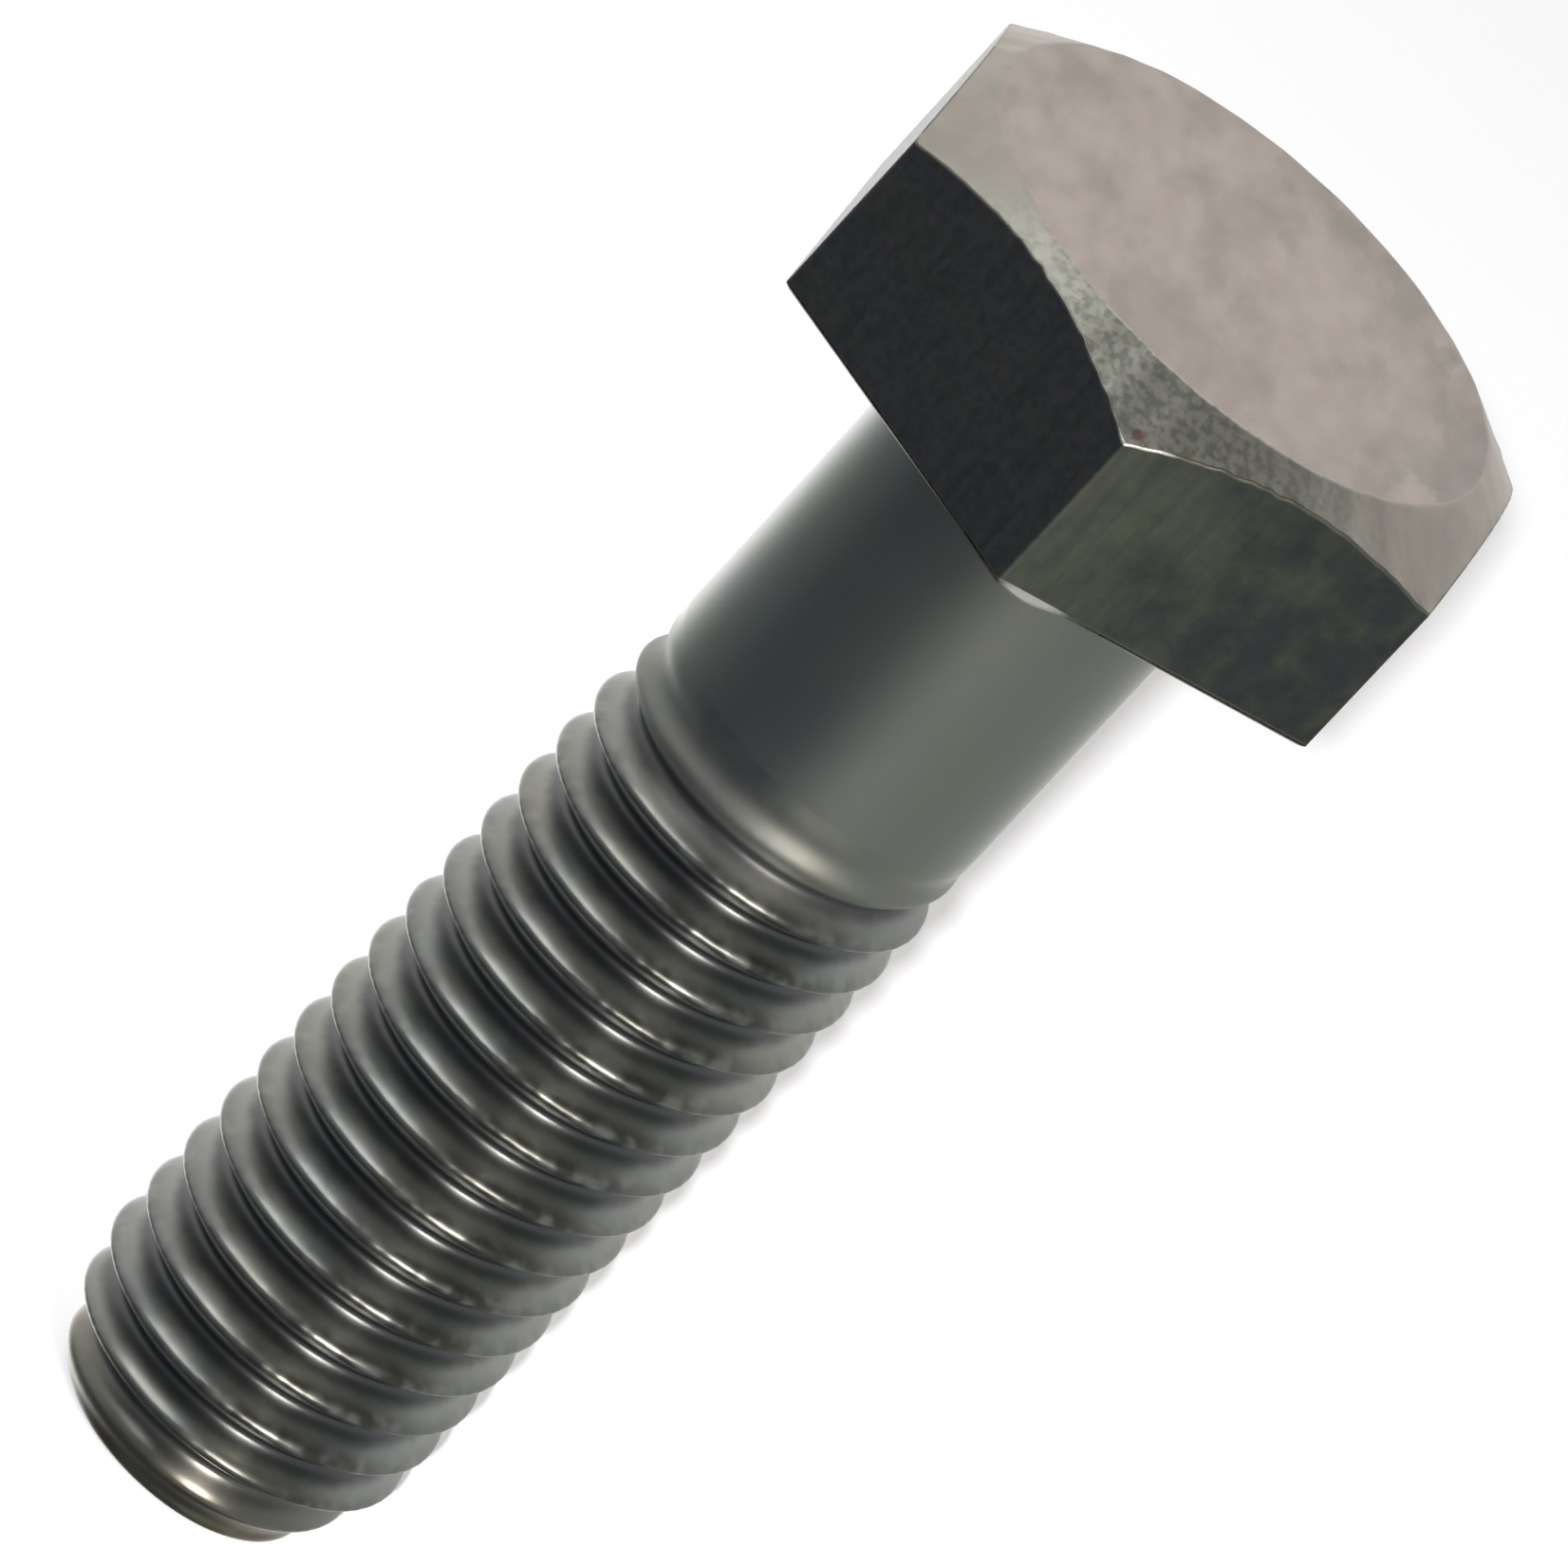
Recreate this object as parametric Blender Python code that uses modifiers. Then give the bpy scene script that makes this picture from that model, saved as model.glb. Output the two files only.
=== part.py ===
"""Hex bolt, M10 x 35 with a plain shank, as one forged and rolled piece of steel.

The bolt stands on its thread end. Z is its axis with the head up, and the origin is the
centre of the flat thread end. Two wrench flats face +X and -X. Lengths are in metres.
"""

import math

import bmesh
import bpy

# Driving dimensions
LENGTH = 0.03625  # thread end to bearing face
HEAD_HEIGHT = 0.0062
ACROSS_FLATS = 0.0166
CHAMFER_CIRCLE = 0.01506  # diameter of the flat top of the head
CHAMFER_ANGLE = math.radians(34)
SHANK_DIAMETER = 0.00935
FILLET = 0.0004  # between shank and bearing face
THREAD_DIAMETER = 0.00975
THREAD_PITCH = 0.0015
THREAD_LENGTH = 0.0236  # thread end to the last full crest
RUNOUT = 0.0017  # height over which the thread fades into the shank
END_DIAMETER = 0.0073  # flat end of the thread, inside its taper
END_TAPER = 0.003  # height of the taper that leads the thread into a nut
THREAD_PHASE = math.radians(-18.75)  # turns the whole thread about the axis

# Worked out from the ones above
HEAD_TOP = LENGTH + HEAD_HEIGHT
THREAD_TOP = THREAD_LENGTH + RUNOUT
SHANK_RADIUS = SHANK_DIAMETER / 2
CREST_RADIUS = THREAD_DIAMETER / 2
END_RADIUS = END_DIAMETER / 2
THREAD_DEPTH = 0.6134 * THREAD_PITCH
ROOT_RADIUS = CREST_RADIUS - THREAD_DEPTH
CREST_WIDTH = THREAD_PITCH / 8
FLANK_SLOPE = math.tan(math.radians(30))
CREST_FADE = RUNOUT / 2  # height over which the last crests come down to the shank

# How finely round shapes are cut into flats, and how far shapes that are joined overlap
ROUND_STEPS = 48
HEAD_STEPS = 96
OVERLAP = 0.001
SHALLOW_OVERLAP = OVERLAP / 4
SPARE_TURNS = 2  # thread made beyond each end, and cut away
SAME_POINT = 1e-6
SHARP_EDGE = CHAMFER_ANGLE / 2  # a sharper turn than this is shaded as an edge


def clear_scene():
    for obj in list(bpy.data.objects):
        bpy.data.objects.remove(obj, do_unlink=True)


def new_collection(name):
    collection = bpy.data.collections.new(name)
    bpy.context.scene.collection.children.link(collection)
    return collection


def new_object(name, mesh, collection):
    obj = bpy.data.objects.new(name, mesh)
    collection.objects.link(obj)
    return obj


def steel():
    """Dark, lightly oiled steel."""
    material = bpy.data.materials.new("steel")
    material.use_nodes = True
    shader = material.node_tree.nodes["Principled BSDF"]
    shader.inputs["Base Color"].default_value = (0.16, 0.16, 0.15, 1.0)
    shader.inputs["Metallic"].default_value = 1.0
    shader.inputs["Roughness"].default_value = 0.35
    return material


def profile_object(name, points, collection):
    """Edges in the XZ plane that a Screw modifier turns about Z."""
    mesh = bpy.data.meshes.new(name)
    edges = [(i, i + 1) for i in range(len(points) - 1)]
    mesh.from_pydata([(radius, 0, height) for radius, height in points], edges, [])
    return new_object(name, mesh, collection)


def add_screw(obj, steps, turns=1, pitch=0.0):
    """Turns obj's edges about Z: full circles at no pitch, or that many turns of a helix."""
    screw = obj.modifiers.new("screw", "SCREW")
    screw.axis = "Z"
    screw.angle = 2 * math.pi
    screw.screw_offset = pitch
    screw.iterations = turns
    screw.steps = steps
    screw.render_steps = steps
    screw.use_merge_vertices = pitch == 0
    screw.merge_threshold = SAME_POINT


def turned(name, points, steps, collection):
    """A solid of revolution: points run from the axis, down the outer side, to the axis."""
    obj = profile_object(name, points, collection)
    add_screw(obj, steps)
    return obj


def add_boolean(obj, operation, other):
    modifier = obj.modifiers.new(operation.lower(), "BOOLEAN")
    modifier.operation = operation
    modifier.solver = "EXACT"
    modifier.object = other


def hide_helper(obj):
    obj.hide_render = True
    obj.display_type = "WIRE"


def one_pitch():
    """The thread's outline over one pitch, going down: root, flank, crest, flank."""
    flank_height = THREAD_DEPTH * FLANK_SLOPE
    root_width = THREAD_PITCH - CREST_WIDTH - 2 * flank_height
    height = THREAD_PITCH
    points = [(ROOT_RADIUS, height)]
    for radius, drop in (
        (ROOT_RADIUS, root_width),
        (CREST_RADIUS, flank_height),
        (CREST_RADIUS, CREST_WIDTH),
        (ROOT_RADIUS, flank_height),
    ):
        height -= drop
        points.append((radius, height))
    return points


def close_to_axis(shape):
    """Closes both open ends of a screwed surface with a fan to a point on the axis."""
    middle = sum(vert.co.z for vert in shape.verts) / len(shape.verts)
    for below in (True, False):
        rim = [
            edge
            for edge in shape.edges
            if edge.is_boundary and (edge.verts[0].co.z < middle) == below
        ]
        made = bmesh.ops.extrude_edge_only(shape, edges=rim)["geom"]
        inner = [item for item in made if isinstance(item, bmesh.types.BMVert)]
        height = sum(vert.co.z for vert in inner) / len(inner)
        bmesh.ops.pointmerge(shape, verts=inner, merge_co=(0, 0, height))


def threaded_rod(collection):
    """A right-hand threaded rod, longer than the thread at both ends."""
    swept = profile_object("one_pitch", one_pitch(), collection)
    turns = math.ceil(THREAD_TOP / THREAD_PITCH) + 2 * SPARE_TURNS
    add_screw(swept, ROUND_STEPS, turns, THREAD_PITCH)
    graph = bpy.context.evaluated_depsgraph_get()
    mesh = bpy.data.meshes.new_from_object(swept.evaluated_get(graph))
    bpy.data.objects.remove(swept, do_unlink=True)

    shape = bmesh.new()
    shape.from_mesh(mesh)
    bmesh.ops.remove_doubles(shape, verts=shape.verts, dist=SAME_POINT)
    close_to_axis(shape)
    bmesh.ops.recalc_face_normals(shape, faces=shape.faces)
    shape.to_mesh(mesh)
    shape.free()
    rod = new_object("threaded_rod", mesh, collection)
    rod.location.z = -SPARE_TURNS * THREAD_PITCH
    rod.rotation_euler.z = THREAD_PHASE
    return rod


def thread_limits():
    """The space that the thread fills: a tapered end, and crests that fade at the top."""
    wide = CREST_RADIUS + OVERLAP
    top_radius = SHANK_RADIUS - SHALLOW_OVERLAP
    fade_steepness = CREST_FADE / (CREST_RADIUS - top_radius)
    taper_steepness = END_TAPER / (CREST_RADIUS - END_RADIUS)
    return [
        (0, THREAD_TOP),
        (top_radius, THREAD_TOP),
        (wide, THREAD_TOP - (wide - top_radius) * fade_steepness),
        (wide, (wide - END_RADIUS) * taper_steepness),
        (END_RADIUS, 0),
        (0, 0),
    ]


def shank_outline():
    """The plain shank, from inside the head down to a point inside the thread."""
    steepness = (SHANK_RADIUS - ROOT_RADIUS) / RUNOUT
    return [
        (0, LENGTH + OVERLAP),
        (SHANK_RADIUS + FILLET + OVERLAP, LENGTH + OVERLAP),
        (SHANK_RADIUS, LENGTH - FILLET),
        (SHANK_RADIUS, THREAD_TOP),
        (0, THREAD_TOP - SHANK_RADIUS / steepness),
    ]


def head_outline():
    """A cone-topped disc, wider than the hexagon, that gives the head its chamfer."""
    flat_radius = CHAMFER_CIRCLE / 2
    wide = ACROSS_FLATS
    return [
        (0, HEAD_TOP),
        (flat_radius, HEAD_TOP),
        (wide, HEAD_TOP - (wide - flat_radius) * math.tan(CHAMFER_ANGLE)),
        (wide, LENGTH - OVERLAP),
        (0, LENGTH - OVERLAP),
    ]


def threaded_shank(collection):
    """Everything below the bearing face, reaching a little way into the head."""
    shank = turned("shank", shank_outline(), ROUND_STEPS, collection)
    rod = threaded_rod(collection)
    limits = turned("thread_limits", thread_limits(), ROUND_STEPS, collection)
    add_boolean(rod, "INTERSECT", limits)
    add_boolean(shank, "UNION", rod)
    for obj in (shank, rod, limits):
        hide_helper(obj)
    return shank


def hexagon(name, collection):
    """A six-sided prism from the bearing face to just above the head's top."""
    height = HEAD_HEIGHT + OVERLAP
    corner_radius = ACROSS_FLATS / math.sqrt(3)
    shape = bmesh.new()
    bmesh.ops.create_cone(
        shape,
        cap_ends=True,
        segments=6,
        radius1=corner_radius,
        radius2=corner_radius,
        depth=height,
    )
    bmesh.ops.translate(shape, verts=shape.verts, vec=(0, 0, LENGTH + height / 2))
    mesh = bpy.data.meshes.new(name)
    shape.to_mesh(mesh)
    shape.free()
    return new_object(name, mesh, collection)


def main():
    clear_scene()
    parts = new_collection("hex_bolt")
    helpers = new_collection("helpers")
    bolt = hexagon("hex_bolt", parts)
    chamfer = turned("head_chamfer", head_outline(), HEAD_STEPS, helpers)
    hide_helper(chamfer)
    add_boolean(bolt, "INTERSECT", chamfer)
    add_boolean(bolt, "UNION", threaded_shank(helpers))
    bolt.data.shade_smooth()
    bolt.data.set_sharp_from_angle(angle=SHARP_EDGE)
    bolt.data.materials.append(steel())


main()
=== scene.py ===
"""Looks of a hex bolt: a fine steel mesh that stands for the CAD bolt, its finish, floor and light.

The CAD bolt stands on its thread end with Z as its axis. Sizes here are in millimetres, and
the finished mesh is scaled to the frame's metres.
"""

import math

import bpy
import numpy as np
from mathutils import Matrix, Vector


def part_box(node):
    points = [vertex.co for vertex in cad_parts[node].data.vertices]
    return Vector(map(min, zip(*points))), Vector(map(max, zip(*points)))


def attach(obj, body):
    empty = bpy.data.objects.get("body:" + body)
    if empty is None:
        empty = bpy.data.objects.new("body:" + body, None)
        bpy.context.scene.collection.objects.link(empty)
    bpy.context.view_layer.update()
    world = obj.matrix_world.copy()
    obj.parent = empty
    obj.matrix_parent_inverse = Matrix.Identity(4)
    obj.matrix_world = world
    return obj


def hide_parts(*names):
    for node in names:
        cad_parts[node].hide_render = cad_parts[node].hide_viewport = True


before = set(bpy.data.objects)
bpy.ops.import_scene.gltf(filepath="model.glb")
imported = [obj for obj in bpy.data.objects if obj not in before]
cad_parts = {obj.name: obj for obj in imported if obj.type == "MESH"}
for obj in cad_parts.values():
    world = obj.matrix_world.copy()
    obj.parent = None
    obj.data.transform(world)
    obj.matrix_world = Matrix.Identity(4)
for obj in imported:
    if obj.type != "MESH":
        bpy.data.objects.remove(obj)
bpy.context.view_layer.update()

MM = 0.001
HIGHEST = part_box("hex_bolt")[1] / MM  # the far corner of the CAD bolt's box

# Head
HEAD_TOP = HIGHEST.z
HEAD_HEIGHT = 6.2
BEARING = HEAD_TOP - HEAD_HEIGHT
APOTHEM = HIGHEST.x  # axis to a wrench flat
CORNER_SOFTNESS = 0.005  # rounding of the six upright edges, as a share of the apothem
FLAT_TOP_RADIUS = 7.53
FLAT_TOP_OFFSET = (-0.21, -0.04)  # the chamfer was turned a little off centre
FLAT_TOP_WAVER = 0.02  # unevenness of the flat top's outline
CHAMFER_SLOPE = math.tan(math.radians(34))
EDGE_BAND = 0.22  # width of chamfer beside a flat that the edge's unevenness reaches
EDGE_WAVER = 0.022  # unevenness of the edge between a flat and the chamfer
EDGE_ROUND = 0.06
TOP_EDGE_ROUND = 0.08
BAND_ROUND = 0.05
UNDERSIDE_BAND = 0.5  # how far in from a flat the bearing face is bent by the burr
LOW_BEVEL = (0.12, 0.1)  # width and height of the bevel under a flat
LOW_ROUND = 0.04
LOW_BAND = 0.15  # height above the bearing face up to which a flat's low edge is worn
BURR_ANGLE = math.radians(-85)  # a small burr hangs below the front corner
BURR_REACH = math.radians(4)
BURR_DROP = 0.14
BURR_BULGE = 0.03
TOP_RINGS = (5.5, 3.6, 1.8)  # radii of the mesh rings inside the flat top

# Shank and thread
SHANK_RADIUS = 4.675
FILLET = 0.45  # between shank and bearing face
CREST_RADIUS = 4.82  # the rounded crests stand 0.08 above it
PITCH = 1.5
FLANK_SLOPE = 0.44
CREST_SPREAD = 0.22  # the larger, the rounder the crests
ROOT_SPREAD = 0.23
THREAD_PHASE = -0.115  # height of a crest at angle zero, in pitches
CREST_WIDTH = 0.1  # how far across a crest its unevenness reaches
CREST_UNEVENNESS = 0.004
FADE_START = 23.3  # the runout: from here up, crests and grooves fade
CREST_END = 25.0
GROOVE_END = 26.2
SHANK_START = GROOVE_END + 0.3  # the shank's own finish begins here
SHANK_RINGS = 0.1  # how far apart the mesh rings lie there
END_RADIUS = 3.65
END_TAPER = 3.0
END_ROUND = 0.35
TAPER_BLEND = 0.1  # rounding where the taper meets the full thread
LEAD_HEIGHTS = (-0.5, 2.5)  # the grooves deepen from the first height to the second
END_RINGS = (1.2, 2.4, 3.1)  # radii of the mesh rings inside the flat end

# Mesh
COLUMNS_PER_FLAT = 60
EVEN_SHARE = 0.4  # 1 spaces the columns evenly, and less crowds them at the head's corners
ROWS_PER_PITCH = 30
ROUND_STEPS = 5
LEG_GUARD = 1.4  # distance from a corner, in roundings, of the ring that keeps its leg straight
SIXTH = math.radians(60)

# Spots on the head
CORNER_GLINT_PLACE = (0.45, -9.25, 41.2)  # a painted glint: near-white metal at the corner between the two front flats
CORNER_GLINT_REACH = 0.9
RUST_PLACE = (0.1, -9.2, 41.35)
RUST_REACH = 0.2
# Painted glint: near-white metal on the burr below the front corner
BURR_GLINT_PLACE = (0.9, -9.0, 35.9)
BURR_GLINT_REACH = 1.3

# Metal colours
# Near-white metal, painted on as glints
GLINT_STEEL = (0.95, 0.93, 0.9, 1)
RUST = (0.36, 0.23, 0.19, 1)
TIP_OLIVE = (0.33, 0.345, 0.28, 1)
TIP_BROWN = (0.27, 0.225, 0.17, 1)
BLUE_STEEL = (0.345, 0.365, 0.365, 1)
OLIVE_STEEL = (0.36, 0.37, 0.34, 1)
# Painted shade: a darker colour for the deep grooves of the thread
GROOVE_SHADE = (0.175, 0.18, 0.19, 1)
SCUFFED_CREST = (0.13, 0.132, 0.12, 1)
DARK_BLUE = (0.17, 0.178, 0.19, 1)
DARK_OLIVE = (0.195, 0.207, 0.165, 1)
# Teal for the painted shade on the flats, and for their dark grain
DARK_TEAL = (0.085, 0.094, 0.104, 1)
OLIVE_MOTTLE = (0.15, 0.158, 0.122, 1)
BROWN_STREAK = (0.205, 0.19, 0.155, 1)
WORN_STEEL = (0.25, 0.24, 0.2, 1)
CHAMFER_GREY = (0.42, 0.4, 0.365, 1)
CHAMFER_BEIGE = (0.5, 0.46, 0.42, 1)
FRONT_GREY = (0.6, 0.61, 0.55, 1)
SPECK = (0.38, 0.39, 0.345, 1)
TOP_BEIGE = (0.49, 0.435, 0.405, 1)
TOP_PALE = (0.58, 0.51, 0.475, 1)
TOP_GREY = (0.42, 0.4, 0.37, 1)

# Roughness, from its least to its most
SHANK_ROUGHNESS = (0.32, 0.34)
THREAD_ROUGHNESS = (0.28, 0.33)
RUNOUT_ROUGHNESS = 0.25  # added on the runout
FLAT_ROUGHNESS = (0.34, 0.42)
EDGE_ROUGHNESS = 0.35
CHAMFER_ROUGHNESS = 0.42
TOP_ROUGHNESS = (0.46, 0.56)
END_ROUGHNESS = 0.4

# Levels of a noise between which a pattern goes from its one colour to its other
SOFT = (0.3, 0.7)
CLEAR = (0.4, 0.6)
MOTTLE = (0.4, 0.8)
STREAK = (0.5, 0.65)
GRAIN = (0.35, 0.75)
SCUFF = (0.3, 0.6)
SPECKS = (0.4, 0.66)
PATCH = (0.4, 0.55)

# Where a pattern goes from none of it, at the first place, to all of it, at the second
# Painted shade in the deep grooves, by radius and by height
GROOVE_SHADE_RADII = (4.5, 4.2)
GROOVE_SHADE_HEIGHTS = (0.8, 2.5)
ABOVE_TIP = (0.3, 2.2)  # heights between which the tip's colours give way
SCUFF_RADII = (4.5, 4.85)
SCUFF_FROM_LEFT = (-1.5, 0.5)  # X on the front of the thread
SCUFF_FROM_RIGHT = (4.2, 3.0)
RIGHT_FLATS = (-0.5, 0.5)  # X, from the flats at -X to those at +X
PAINTED_FLAT_SHADE = (0.0, 6.0)  # X on the flats, across which painted shade darkens them to teal
CHAMFER_FRONT = (-4.5, -8.0)  # Y on the chamfer
TOP_RIM = (4.0, 7.2)  # radii
TOP_FAR_SIDE = (-1.0, 5.0)  # X plus half of Y

# How strong a pattern is, and how it is shaped
GROOVE_SHADE_UNEVENNESS = 0.2  # how far noise shifts the radius at which the painted groove shade starts
SCUFF_ELSEWHERE = 0.3  # share of the scuffs that the rest of the thread has
FULLY_ROUGH = (24.6, 25.2)  # heights between which the runout is at its roughest
PAINTED_FLAT_SHADE_WANDER = 10.0  # how far noise shifts the painted shade on the flats
GRAIN_STRENGTH = 0.35
STREAK_STRENGTH = 0.5
TOP_STRETCH = (1, 0.45, 1)  # draws the blotches of the flat top out along Y

# Floor
FLOOR_SIZE = 6000
FLOOR_DROP = 0.02  # below the thread end
FLOOR_COLOUR = (0.9, 0.9, 0.92, 1)
FLOOR_GLOW = 0.08

# Camera: from where the bolt is seen, and how far it is turned in the picture
CAMERA_AZIMUTH = -92.53
CAMERA_ELEVATION = 24.67
CAMERA_DISTANCE = 405.57
CAMERA_TARGET = Vector((-0.19, -4.38, 26.35))
CAMERA_ROLL = 42.87
CAMERA_LENS = 387.46

# Lamps: azimuth and elevation in degrees, width and height, power in watts, colour
LAMPS = {
    "low_strip": (-64, 22, 120, 250, 0.95, (1.0, 0.93, 0.84)),
    "high_front": (-148, 55, 280, 160, 0.26, (1.0, 0.98, 0.93)),
    "high_left": (143, 63, 200, 200, 0.04, (1.0, 1.0, 0.97)),
}
LAMP_DISTANCE = 400
FLOOR_LAMP_SIZE = 12
FLOOR_LAMP_POWER = 12.5
FLOOR_LAMP_DISTANCE = 900
FLOOR_LAMP_SHIFT = 0.02  # its place beside the camera, as a share of its distance
WHITE = (1.0, 1.0, 1.0)

# Studio brightness round the horizon and higher up: azimuth in degrees, then colour
LOW_RING = (
    (-180, (0.10, 0.125, 0.13)),
    (-160, (0.043, 0.05, 0.063)),
    (-102, (0.058, 0.068, 0.082)),
    (-80, (0.17, 0.183, 0.17)),
    (-60, (0.32, 0.335, 0.32)),
    (-40, (0.33, 0.35, 0.32)),
    (-15, (0.30, 0.335, 0.295)),
    (5, (0.32, 0.345, 0.31)),
    (35, (0.41, 0.415, 0.395)),
    (60, (0.7, 0.69, 0.67)),
    (75, (0.96, 0.96, 0.94)),
    (90, (1.7, 1.7, 1.67)),
    (115, (1.8, 1.8, 1.77)),
    (138, (0.55, 0.55, 0.53)),
    (158, (0.17, 0.19, 0.185)),
    (180, (0.10, 0.125, 0.13)),
)
HIGH_RING = (
    (-180, (0.38, 0.37, 0.36)),
    (-140, (0.14, 0.14, 0.145)),
    (-60, (0.16, 0.16, 0.16)),
    (0, (0.32, 0.32, 0.31)),
    (45, (0.62, 0.61, 0.59)),
    (90, (0.85, 0.83, 0.8)),
    (135, (0.75, 0.73, 0.7)),
    (180, (0.38, 0.37, 0.36)),
)
CROWN_COLOUR = (0.32, 0.325, 0.31, 1)
UNDERSIDE_COLOUR = (0.05, 0.05, 0.055, 1)
BACKDROP_DIMMING = 0.7  # share of the white backdrop's light that matte surfaces go without

# Heights, as the sine of the elevation, between which one part of the studio becomes the next
LOW_TO_HIGH = (-0.38, 0.1)
HIGH_TO_CROWN = (0.75, 1.0)
LOW_TO_UNDERSIDE = (-0.65, -0.95)

DARK_PATCH = (25, 77)  # azimuth and elevation of a dark part of the room
DARK_PATCH_COLOUR = (0.02, 0.022, 0.02, 1)
DARK_PATCH_EDGE = (0.83, 0.97)  # cosines of the angles from its middle to its rim and its core


def soft_min(a, b, softness):
    return (a + b - np.sqrt((a - b) ** 2 + softness**2)) / 2


def soft_max(a, b, softness):
    return (a + b + np.sqrt((a - b) ** 2 + softness**2)) / 2


def smooth_step(low, high, value):
    share = np.clip((value - low) / (high - low), 0, 1)
    return share * share * (3 - 2 * share)


def waves(place, slowest, fastest, seed, count=14):
    """A seeded sum of sines of place (radians), about -1 to 1, for small irregularities."""
    dice = np.random.default_rng(seed)
    total = np.zeros_like(place)
    for _ in range(count):
        turns = dice.integers(slowest, fastest + 1)
        total += np.sin(turns * place + dice.uniform(0, 2 * math.pi))
    return total / math.sqrt(count)


def column_angles():
    """Angles round the bolt, closer together near the six corners of the head."""
    share = np.arange(-COLUMNS_PER_FLAT, COLUMNS_PER_FLAT, 2) / COLUMNS_PER_FLAT
    spread = SIXTH / 2 * (EVEN_SHARE * share + (1 - EVEN_SHARE) * share**3)
    corners = SIXTH / 2 + SIXTH * np.arange(6)
    return (corners[:, None] + spread[None, :]).ravel()


def hexagon_radius(angle):
    """Distance from the axis to the hexagon's outline, with softly rounded corners."""
    cosines = np.sort([np.cos(angle - SIXTH * k) for k in range(6)], axis=0)
    return APOTHEM / soft_max(cosines[-1], cosines[-2], CORNER_SOFTNESS)


def thread_radius(angle, height):
    """The rolled thread: rounded roots, uneven crests, a taper below and a runout above."""
    turn = height / PITCH - angle / (2 * math.pi) - THREAD_PHASE
    offset = (turn - np.round(turn)) * PITCH
    along = 2 * math.pi * (height - offset) / PITCH

    from_root = PITCH / 2 - np.abs(offset)
    fall = np.hypot(offset, CREST_SPREAD) - CREST_SPREAD
    fill = np.hypot(from_root, ROOT_SPREAD) - from_root
    lobe = (fill - fall) / FLANK_SLOPE
    on_crest = np.exp(-((offset / CREST_WIDTH) ** 2))
    lobe += CREST_UNEVENNESS * on_crest * waves(along, slowest=40, fastest=85, seed=12)

    groove = 1 - smooth_step(FADE_START, GROOVE_END, height)
    crest = SHANK_RADIUS + (CREST_RADIUS - SHANK_RADIUS) * (
        1 - smooth_step(FADE_START, CREST_END, height)
    )
    taper = END_RADIUS + (CREST_RADIUS - END_RADIUS) * height / END_TAPER
    lead = smooth_step(*LEAD_HEIGHTS, height)
    return soft_min(crest, taper + TAPER_BLEND / 2, TAPER_BLEND) + lobe * groove * lead


def thread_rows(angle):
    """(radius, height) of every ring from the flat end to the plain shank."""
    rows = []
    for step in range(ROUND_STEPS + 1):
        turn = math.pi / 2 * step / ROUND_STEPS
        height = np.full_like(angle, END_ROUND * (1 - math.cos(turn)))
        inset = END_ROUND * (1 - math.sin(turn))
        rows.append((thread_radius(angle, height) - inset, height))
    spacing = PITCH / ROWS_PER_PITCH
    for height in np.arange(END_ROUND + spacing, GROOVE_END, spacing):
        height = np.full_like(angle, height)
        rows.append((thread_radius(angle, height), height))
    return rows


def rounded(corners):
    """Rings along straight legs between corners, and the finish of the band after each ring.

    A corner is its point (radius and height, each a number for every column), the size of
    its rounding, the finish of the rounding and the finish of the leg that follows.
    """
    rows = []
    for before, corner, after in zip(corners, corners[1:], corners[2:]):
        point, size, round_finish, leg_finish = corner
        legs = [np.array(other[0]) - np.array(point) for other in (before, after)]
        ways = [size * leg / np.linalg.norm(leg, axis=0) for leg in legs]
        rows.append((point + LEG_GUARD * ways[0], before[3]))
        for step in range(ROUND_STEPS + 1):
            t = step / ROUND_STEPS
            rows.append((point + (1 - t) ** 2 * ways[0] + t * t * ways[1], round_finish))
        rows[-1] = (rows[-1][0], leg_finish)
        rows.append((point + LEG_GUARD * ways[1], leg_finish))
    return rows


def head_rows(angle):
    """Rings from the shank, over the bearing face and the flats, to the flat top."""
    level = np.ones_like(angle)
    side = hexagon_radius(angle)
    flat_top = (
        FLAT_TOP_RADIUS
        + FLAT_TOP_OFFSET[0] * np.cos(angle)
        + FLAT_TOP_OFFSET[1] * np.sin(angle)
        + FLAT_TOP_WAVER * waves(angle, slowest=3, fastest=40, seed=21)
    )
    waver = EDGE_WAVER * waves(angle, slowest=20, fastest=130, seed=22)
    chamfer_edge = HEAD_TOP - (side - flat_top) * CHAMFER_SLOPE
    band_radius = side - EDGE_BAND
    band_height = HEAD_TOP - (band_radius - flat_top) * CHAMFER_SLOPE

    from_burr = (angle - BURR_ANGLE + math.pi) % (2 * math.pi) - math.pi
    hang = np.exp(-((from_burr / BURR_REACH) ** 2))
    low = BEARING - BURR_DROP * hang
    bulge = side + BURR_BULGE * hang
    bevel_width, bevel_height = LOW_BEVEL
    corners = [
        ((SHANK_RADIUS * level, GROOVE_END * level), 0, "thread", "thread"),
        ((SHANK_RADIUS * level, SHANK_START * level), SHANK_RINGS, "shank", "shank"),
        ((SHANK_RADIUS * level, BEARING * level), FILLET, "shank", "flat"),
        ((side - UNDERSIDE_BAND, BEARING * level), BAND_ROUND, "flat", "flat"),
        ((bulge - bevel_width, low), LOW_ROUND, "edge", "edge"),
        ((bulge, low + bevel_height), LOW_ROUND, "edge", "edge"),
        ((side, BEARING + LOW_BAND * level), LOW_ROUND, "edge", "flat"),
        ((side, chamfer_edge + waver), EDGE_ROUND, "edge", "chamfer"),
        ((band_radius, band_height), BAND_ROUND, "chamfer", "chamfer"),
        ((flat_top, HEAD_TOP * level), TOP_EDGE_ROUND, "chamfer", "top"),
        ((0 * level, HEAD_TOP * level), 0, "top", "top"),
    ]
    return rounded(corners)


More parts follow.
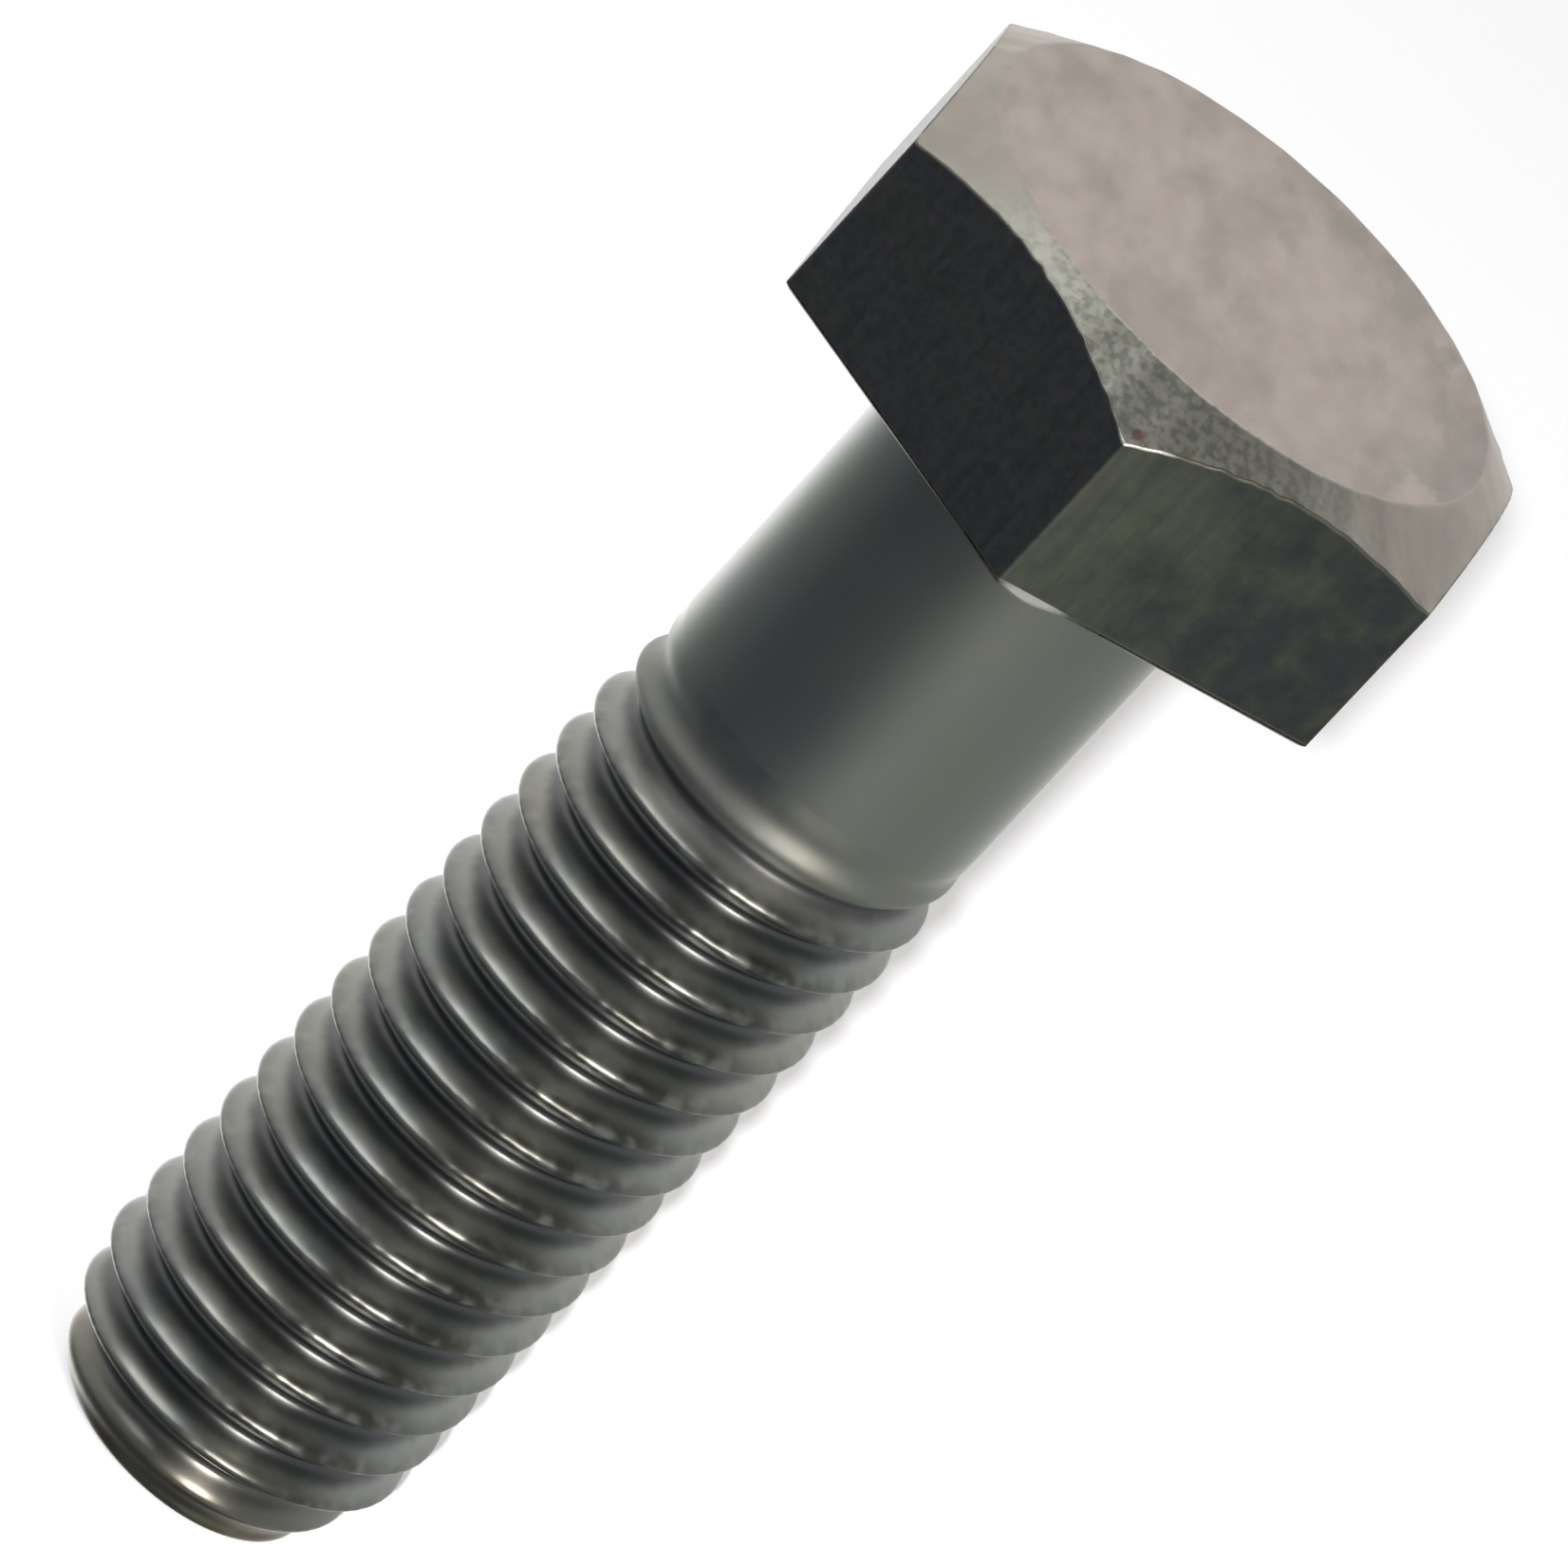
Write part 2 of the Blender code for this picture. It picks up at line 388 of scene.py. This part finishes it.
def bolt_rows(angle):
    """Every ring from the thread end to the flat top, and the finish of the band after it."""
    level = np.ones_like(angle)
    end = [((radius * level, 0 * level), "end") for radius in END_RINGS]
    thread = [(row, "thread") for row in thread_rows(angle)]
    top = [((radius * level, HEAD_TOP * level), "top") for radius in TOP_RINGS]
    return end + thread + head_rows(angle) + top


def bolt_mesh():
    """One closed skin: the rings, and a point on the axis at either end."""
    angle = column_angles()
    rows = bolt_rows(angle)
    radius = np.array([row[0] for row, finish in rows])
    height = np.array([row[1] for row, finish in rows])
    count, columns = radius.shape

    rings = np.stack([radius * np.cos(angle), radius * np.sin(angle), height], axis=2)
    poles = [[(0, 0, 0)], [(0, 0, HEAD_TOP)]]
    points = np.concatenate([rings.reshape(-1, 3), *poles]) * MM

    number = np.arange(count * columns).reshape(count, columns)
    right = np.roll(number, -1, axis=1)
    quads = np.stack([number[:-1], right[:-1], right[1:], number[1:]], axis=2)
    faces = quads.reshape(-1, 4).tolist()
    finishes = [finish for row, finish in rows[:-1] for _ in range(columns)]
    first, last = count * columns, count * columns + 1
    faces += [(first, b, a) for a, b in zip(number[0], right[0])]
    faces += [(last, a, b) for a, b in zip(number[-1], right[-1])]
    finishes += ["end"] * columns + ["top"] * columns

    mesh = bpy.data.meshes.new("bolt")
    mesh.from_pydata(points.tolist(), [], faces)
    mesh.shade_smooth()
    order = list(FINISHES)
    for finish in order:
        mesh.materials.append(FINISHES[finish]())
    mesh.polygons.foreach_set("material_index", [order.index(finish) for finish in finishes])
    return mesh


class Nodes:
    """A short way to build a node tree."""

    def __init__(self, tree):
        self.tree = tree

    def add(self, kind, **settings):
        node = self.tree.nodes.new(kind)
        for name, value in settings.items():
            setattr(node, name, value)
        return node

    def plug(self, value, target):
        """Joins a socket to target, or sets target to a number or colour."""
        if isinstance(value, bpy.types.NodeSocket):
            self.tree.links.new(value, target)
        else:
            target.default_value = value

    def math(self, operation, *values):
        node = self.add("ShaderNodeMath", operation=operation)
        for value, target in zip(values, node.inputs):
            self.plug(value, target)
        return node.outputs[0]

    def product(self, first, *others):
        for other in others:
            first = self.math("MULTIPLY", first, other)
        return first

    def graded(self, value, low, high, to_low=0.0, to_high=1.0):
        """Goes smoothly from to_low to to_high as value goes from low to high."""
        node = self.add("ShaderNodeMapRange", interpolation_type="SMOOTHSTEP")
        places = ("Value", "From Min", "From Max", "To Min", "To Max")
        for place, number in zip(places, (value, low, high, to_low, to_high)):
            self.plug(number, node.inputs[place])
        return node.outputs[0]

    def mix(self, share, first, second):
        """The colour first at share 0 and second at share 1."""
        node = self.add("ShaderNodeMix", data_type="RGBA")
        self.plug(share, node.inputs["Factor"])
        self.plug(first, node.inputs["A"])
        self.plug(second, node.inputs["B"])
        return node.outputs["Result"]


class Finish(Nodes):
    """A metal finish under construction. Places are in millimetres on the bolt."""

    def __init__(self, name):
        self.material = bpy.data.materials.new(name)
        self.material.use_nodes = True
        super().__init__(self.material.node_tree)
        self.shader = self.tree.nodes["Principled BSDF"]
        self.shader.inputs["Metallic"].default_value = 1.0
        place = self.add("ShaderNodeTexCoord")
        scaled = self.add("ShaderNodeVectorMath", operation="SCALE")
        scaled.inputs["Scale"].default_value = 1 / MM
        self.plug(place.outputs["Object"], scaled.inputs[0])
        self.place = scaled.outputs[0]
        split = self.add("ShaderNodeSeparateXYZ")
        self.plug(self.place, split.inputs[0])
        self.x, self.y, self.z = split.outputs

    def radius(self):
        squares = [self.math("POWER", side, 2.0) for side in (self.x, self.y)]
        return self.math("SQRT", self.math("ADD", *squares))

    def noise(self, scale, detail=3.0, stretch=(1, 1, 1), shift=0.0):
        """Cloudy noise, 0 to 1, with scale features a millimetre; stretch squeezes an axis."""
        mapping = self.add("ShaderNodeMapping")
        mapping.inputs["Scale"].default_value = stretch
        mapping.inputs["Location"].default_value = (shift, shift, shift)
        self.plug(self.place, mapping.inputs["Vector"])
        node = self.add("ShaderNodeTexNoise")
        node.inputs["Scale"].default_value = scale
        node.inputs["Detail"].default_value = detail
        self.plug(mapping.outputs[0], node.inputs["Vector"])
        return node.outputs["Fac"]

    def near(self, spot, reach):
        """1 at a spot on the bolt, falling to 0 at that reach from it."""
        node = self.add("ShaderNodeVectorMath", operation="DISTANCE")
        self.plug(self.place, node.inputs[0])
        node.inputs[1].default_value = spot
        return self.graded(node.outputs["Value"], reach, reach / 2)

    def finish(self, colour, roughness, grain, grain_depth):
        """Joins colour, roughness and a grain of that depth in millimetres to the shader."""
        self.plug(colour, self.shader.inputs["Base Color"])
        self.plug(roughness, self.shader.inputs["Roughness"])
        bump = self.add("ShaderNodeBump")
        bump.inputs["Distance"].default_value = grain_depth * MM
        self.plug(grain, bump.inputs["Height"])
        self.plug(bump.outputs[0], self.shader.inputs["Normal"])
        return self.material


def shank_finish():
    """Plain shank: satin steel."""
    steel = Finish("shank_steel")
    colour = steel.mix(steel.graded(steel.noise(0.3), *SOFT), BLUE_STEEL, OLIVE_STEEL)
    roughness = steel.graded(steel.noise(0.4, shift=7), *SOFT, *SHANK_ROUGHNESS)
    return steel.finish(colour, roughness, steel.noise(4), grain_depth=0.0003)


def thread_colour(steel):
    """Blue-grey and olive steel, olive and brown at the tip, with painted shade darkening the deep
    grooves.
    """
    colour = steel.mix(steel.graded(steel.noise(0.3), *SOFT), BLUE_STEEL, OLIVE_STEEL)
    tip_clouds = steel.graded(steel.noise(0.45, detail=4, shift=9), *CLEAR)
    tip = steel.mix(tip_clouds, TIP_OLIVE, TIP_BROWN)
    colour = steel.mix(steel.graded(steel.z, *ABOVE_TIP), tip, colour)

    # Painted shade: the deep grooves are darkened in colour.
    uneven = steel.math(
        "MULTIPLY_ADD", steel.noise(1.6), GROOVE_SHADE_UNEVENNESS, -GROOVE_SHADE_UNEVENNESS / 2
    )
    deep = steel.graded(steel.math("ADD", steel.radius(), uneven), *GROOVE_SHADE_RADII)
    groove_shade = steel.product(deep, steel.graded(steel.z, *GROOVE_SHADE_HEIGHTS))
    return steel.mix(groove_shade, colour, GROOVE_SHADE)


def crest_scuffs(steel):
    """How scuffed the crests are: most on the front, and fading out over the runout."""
    crest = steel.graded(steel.radius(), *SCUFF_RADII)
    below_runout = steel.graded(steel.z, CREST_END, FADE_START)
    front = steel.product(
        steel.graded(steel.x, *SCUFF_FROM_LEFT), steel.graded(steel.x, *SCUFF_FROM_RIGHT)
    )
    share = steel.math("MULTIPLY_ADD", front, 1 - SCUFF_ELSEWHERE, SCUFF_ELSEWHERE)
    scuffs = steel.graded(steel.noise(1.6, detail=1, shift=2), *SCUFF)
    return steel.product(crest, below_runout, share, scuffs)


def thread_finish():
    """Rolled thread: brushed along its turns, with scuffed crests and a rougher runout."""
    steel = Finish("thread_steel")
    colour = steel.mix(crest_scuffs(steel), thread_colour(steel), SCUFFED_CREST)
    steel.shader.inputs["Anisotropic"].default_value = 0.4
    steel.shader.inputs["Anisotropic Rotation"].default_value = 0.25
    tangent = steel.add("ShaderNodeTangent", direction_type="RADIAL", axis="Z")
    steel.plug(tangent.outputs[0], steel.shader.inputs["Tangent"])
    runout = steel.product(
        steel.graded(steel.z, FADE_START, FULLY_ROUGH[0]),
        steel.graded(steel.z, GROOVE_END, FULLY_ROUGH[1]),
    )
    roughness = steel.graded(steel.noise(1.1, shift=7), *SOFT, *THREAD_ROUGHNESS)
    roughness = steel.math("MULTIPLY_ADD", runout, RUNOUT_ROUGHNESS, roughness)
    return steel.finish(colour, roughness, steel.noise(4), grain_depth=0.0015)


def flat_finish():
    """Wrench flats and bearing face: dark drawn steel, streaked at -X and mottled at +X, with
    painted shade darkening them towards +X.
    """
    steel = Finish("flat_steel")
    right = steel.graded(steel.x, *RIGHT_FLATS)
    left = steel.math("SUBTRACT", 1.0, right)
    colour = steel.mix(right, DARK_BLUE, DARK_OLIVE)

    # Painted shade: the flats darken to teal towards +X, over a wandering border.
    middle = steel.math("ADD", steel.x, -PAINTED_FLAT_SHADE_WANDER / 2)
    painted_shade = steel.math("MULTIPLY_ADD", steel.noise(0.7, detail=6), PAINTED_FLAT_SHADE_WANDER, middle)
    colour = steel.mix(steel.graded(painted_shade, *PAINTED_FLAT_SHADE), colour, DARK_TEAL)
    mottle = steel.graded(steel.noise(1.1, detail=8, shift=5), *MOTTLE)
    colour = steel.mix(steel.product(mottle, right), colour, OLIVE_MOTTLE)
    streak = steel.graded(steel.noise(0.6, detail=4, stretch=(0.1, 0.1, 3)), *STREAK)
    colour = steel.mix(steel.product(streak, left, STREAK_STRENGTH), colour, BROWN_STREAK)
    grain = steel.noise(3.5, detail=4, stretch=(1, 1, 0.12))
    dark_grain = steel.graded(grain, *GRAIN, to_high=GRAIN_STRENGTH)
    colour = steel.mix(dark_grain, colour, DARK_TEAL)
    roughness = steel.graded(steel.noise(4), *SOFT, *FLAT_ROUGHNESS)
    return steel.finish(colour, roughness, grain, grain_depth=0.002)


def edge_finish():
    """Worn, brighter metal along the edges of the flats, with painted glints of near-white metal at
    the front corner and on the burr.
    """
    steel = Finish("worn_edge")
    wear = steel.graded(steel.noise(2.2, detail=4), *CLEAR)
    colour = steel.mix(wear, DARK_OLIVE, WORN_STEEL)
    # Painted glints: near-white metal at the front corner and on the burr.
    for place, reach in ((CORNER_GLINT_PLACE, CORNER_GLINT_REACH), (BURR_GLINT_PLACE, BURR_GLINT_REACH)):
        colour = steel.mix(steel.near(place, reach), colour, GLINT_STEEL)
    return steel.finish(colour, EDGE_ROUGHNESS, steel.noise(6), grain_depth=0.004)


def chamfer_finish():
    """Turned chamfer: beige, with darker specks and a spot of rust at the front corner."""
    steel = Finish("chamfer_steel")
    cloud = steel.graded(steel.noise(0.8, detail=4), *SOFT)
    colour = steel.mix(cloud, CHAMFER_GREY, CHAMFER_BEIGE)
    front = steel.graded(steel.y, *CHAMFER_FRONT)
    colour = steel.mix(front, colour, FRONT_GREY)
    specks = steel.graded(steel.noise(4.5, detail=12), *SPECKS)
    colour = steel.mix(steel.product(specks, front), colour, SPECK)
    colour = steel.mix(steel.near(RUST_PLACE, RUST_REACH), colour, RUST)
    grain = steel.noise(3.5, detail=4)
    return steel.finish(colour, CHAMFER_ROUGHNESS, grain, grain_depth=0.012)


def top_finish():
    """Flat top: matte beige with faint blotches and a greyer far edge."""
    steel = Finish("top_steel")
    cloud = steel.graded(steel.noise(0.5, detail=7, stretch=TOP_STRETCH), *CLEAR)
    colour = steel.mix(cloud, TOP_BEIGE, TOP_PALE)
    rim = steel.graded(steel.radius(), *TOP_RIM)
    across = steel.math("ADD", steel.x, steel.math("MULTIPLY", steel.y, 0.5))
    far_side = steel.graded(across, *TOP_FAR_SIDE)
    patch = steel.graded(steel.noise(0.7, detail=6, stretch=TOP_STRETCH, shift=3), *PATCH)
    colour = steel.mix(steel.product(rim, far_side, patch), colour, TOP_GREY)
    rough_clouds = steel.noise(1.3, detail=4, stretch=TOP_STRETCH)
    roughness = steel.graded(rough_clouds, *SOFT, *TOP_ROUGHNESS)
    grain = steel.noise(3, detail=5, stretch=TOP_STRETCH)
    return steel.finish(colour, roughness, grain, grain_depth=0.006)


def end_finish():
    """Flat thread end: dark, between blue-grey and olive."""
    steel = Finish("end_steel")
    cloud = steel.graded(steel.noise(0.8, detail=4), *CLEAR)
    colour = steel.mix(cloud, DARK_BLUE, DARK_OLIVE)
    grain = steel.noise(3, detail=4)
    return steel.finish(colour, END_ROUGHNESS, grain, grain_depth=0.006)


FINISHES = {
    "thread": thread_finish,
    "shank": shank_finish,
    "flat": flat_finish,
    "edge": edge_finish,
    "chamfer": chamfer_finish,
    "top": top_finish,
    "end": end_finish,
}


def make_bolt():
    bolt = bpy.data.objects.new("bolt_steel", bolt_mesh())
    bpy.context.scene.collection.objects.link(bolt)
    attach(bolt, "root")
    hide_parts("hex_bolt")


def direction(azimuth, elevation):
    """The unit vector at an azimuth and elevation in degrees."""
    azimuth, elevation = math.radians(azimuth), math.radians(elevation)
    return Vector((
        math.cos(elevation) * math.cos(azimuth),
        math.cos(elevation) * math.sin(azimuth),
        math.sin(elevation),
    ))


def camera_axes():
    """The picture's right and up, and the way back to the camera."""
    away = direction(CAMERA_AZIMUTH, CAMERA_ELEVATION)
    level_right = Vector((0, 0, 1)).cross(away).normalized()
    level_up = away.cross(level_right)
    roll = math.radians(CAMERA_ROLL)
    right = math.cos(roll) * level_right + math.sin(roll) * level_up
    return right, away.cross(right), away


def make_camera():
    data = bpy.data.cameras.new("camera")
    data.lens = CAMERA_LENS
    data.sensor_width = 36
    data.clip_start = 0.05
    data.clip_end = 20
    camera = bpy.data.objects.new("camera", data)
    bpy.context.scene.collection.objects.link(camera)
    bpy.context.scene.camera = camera

    right, up, away = camera_axes()
    turn = Matrix((right, up, away)).transposed().to_4x4()
    place = Matrix.Translation((CAMERA_TARGET + CAMERA_DISTANCE * away) * MM)
    camera.matrix_world = place @ turn


def make_floor():
    """A pale floor that neither shows in the steel nor shades it."""
    bpy.ops.mesh.primitive_plane_add(size=FLOOR_SIZE * MM, location=(0, 0, -FLOOR_DROP * MM))
    floor = bpy.context.object
    floor.name = "floor"
    material = bpy.data.materials.new("pale_floor")
    material.use_nodes = True
    shader = material.node_tree.nodes["Principled BSDF"]
    shader.inputs["Base Color"].default_value = FLOOR_COLOUR
    shader.inputs["Roughness"].default_value = 0.9
    shader.inputs["Specular IOR Level"].default_value = 0.1
    shader.inputs["Emission Color"].default_value = (*WHITE, 1)
    shader.inputs["Emission Strength"].default_value = FLOOR_GLOW
    floor.data.materials.append(material)
    floor.visible_glossy = False
    floor.visible_shadow = False


def ring_ramp(nodes, azimuth_share, ring):
    """The colour of a ring at an azimuth, given as its share of the whole turn."""
    ramp = nodes.add("ShaderNodeValToRGB")
    elements = ramp.color_ramp.elements
    while len(elements) < len(ring):
        elements.new(0.5)
    for element, (azimuth, colour) in zip(elements, ring):
        element.position = (azimuth + 180) / 360
        element.color = (*colour, 1)
    nodes.plug(azimuth_share, ramp.inputs["Fac"])
    return ramp.outputs["Color"]


def studio_colour(nodes, place):
    """What the steel mirrors: bright behind the bolt, dark in front of it and above it."""
    split = nodes.add("ShaderNodeSeparateXYZ")
    nodes.plug(place, split.inputs[0])
    x, y, z = split.outputs
    azimuth = nodes.math("ARCTAN2", y, x)
    share = nodes.math("MULTIPLY_ADD", azimuth, 1 / (2 * math.pi), 0.5)
    low = ring_ramp(nodes, share, LOW_RING)
    high = ring_ramp(nodes, share, HIGH_RING)
    studio = nodes.mix(nodes.graded(z, *LOW_TO_HIGH), low, high)
    studio = nodes.mix(nodes.graded(z, *HIGH_TO_CROWN), studio, CROWN_COLOUR)
    studio = nodes.mix(nodes.graded(z, *LOW_TO_UNDERSIDE), studio, UNDERSIDE_COLOUR)

    towards = nodes.add("ShaderNodeVectorMath", operation="DOT_PRODUCT")
    nodes.plug(place, towards.inputs[0])
    towards.inputs[1].default_value = direction(*DARK_PATCH)
    closeness = nodes.graded(towards.outputs["Value"], *DARK_PATCH_EDGE)
    return nodes.mix(closeness, studio, DARK_PATCH_COLOUR)


def make_world():
    """A soft studio for the steel to mirror, and a plain white backdrop for all else."""
    world = bpy.data.worlds.new("studio")
    bpy.context.scene.world = world
    world.use_nodes = True
    world.node_tree.nodes.clear()
    nodes = Nodes(world.node_tree)
    studio = studio_colour(nodes, nodes.add("ShaderNodeTexCoord").outputs["Generated"])

    seen = nodes.add("ShaderNodeLightPath")
    colour = nodes.mix(seen.outputs["Is Glossy Ray"], (*WHITE, 1), studio)
    dimming = nodes.math("MULTIPLY", seen.outputs["Is Diffuse Ray"], BACKDROP_DIMMING)
    background = nodes.add("ShaderNodeBackground")
    nodes.plug(colour, background.inputs["Color"])
    nodes.plug(nodes.math("SUBTRACT", 1.0, dimming), background.inputs["Strength"])
    output = nodes.add("ShaderNodeOutputWorld")
    nodes.plug(background.outputs[0], output.inputs["Surface"])


def softbox(name, towards, width, height, power, colour, distance):
    """A rectangular lamp that faces the middle of the bolt."""
    data = bpy.data.lights.new(name, "AREA")
    data.shape = "RECTANGLE"
    data.size = width * MM
    data.size_y = height * MM
    data.energy = power
    data.color = colour
    lamp = bpy.data.objects.new(name, data)
    bpy.context.scene.collection.objects.link(lamp)
    lamp.location = (Vector((0, 0, HEAD_TOP / 2)) + towards * distance) * MM
    lamp.rotation_mode = "QUATERNION"
    lamp.rotation_quaternion = towards.to_track_quat("Z", "Y")
    lamp.visible_camera = False
    return lamp


def make_lights():
    for name, (azimuth, elevation, *lamp) in LAMPS.items():
        softbox(name, direction(azimuth, elevation), *lamp, LAMP_DISTANCE)


def make_floor_lamp():
    """A small lamp beside the camera, which gives the bolt a thin soft shadow on the floor."""
    right, _, away = camera_axes()
    lamp = softbox(
        "floor_light",
        (away - FLOOR_LAMP_SHIFT * right).normalized(),
        FLOOR_LAMP_SIZE,
        FLOOR_LAMP_SIZE,
        FLOOR_LAMP_POWER,
        WHITE,
        FLOOR_LAMP_DISTANCE,
    )
    lamp.visible_glossy = False


make_camera()
make_bolt()
make_floor()
make_world()
make_lights()
make_floor_lamp()
bpy.context.scene.view_settings.view_transform = "Standard"
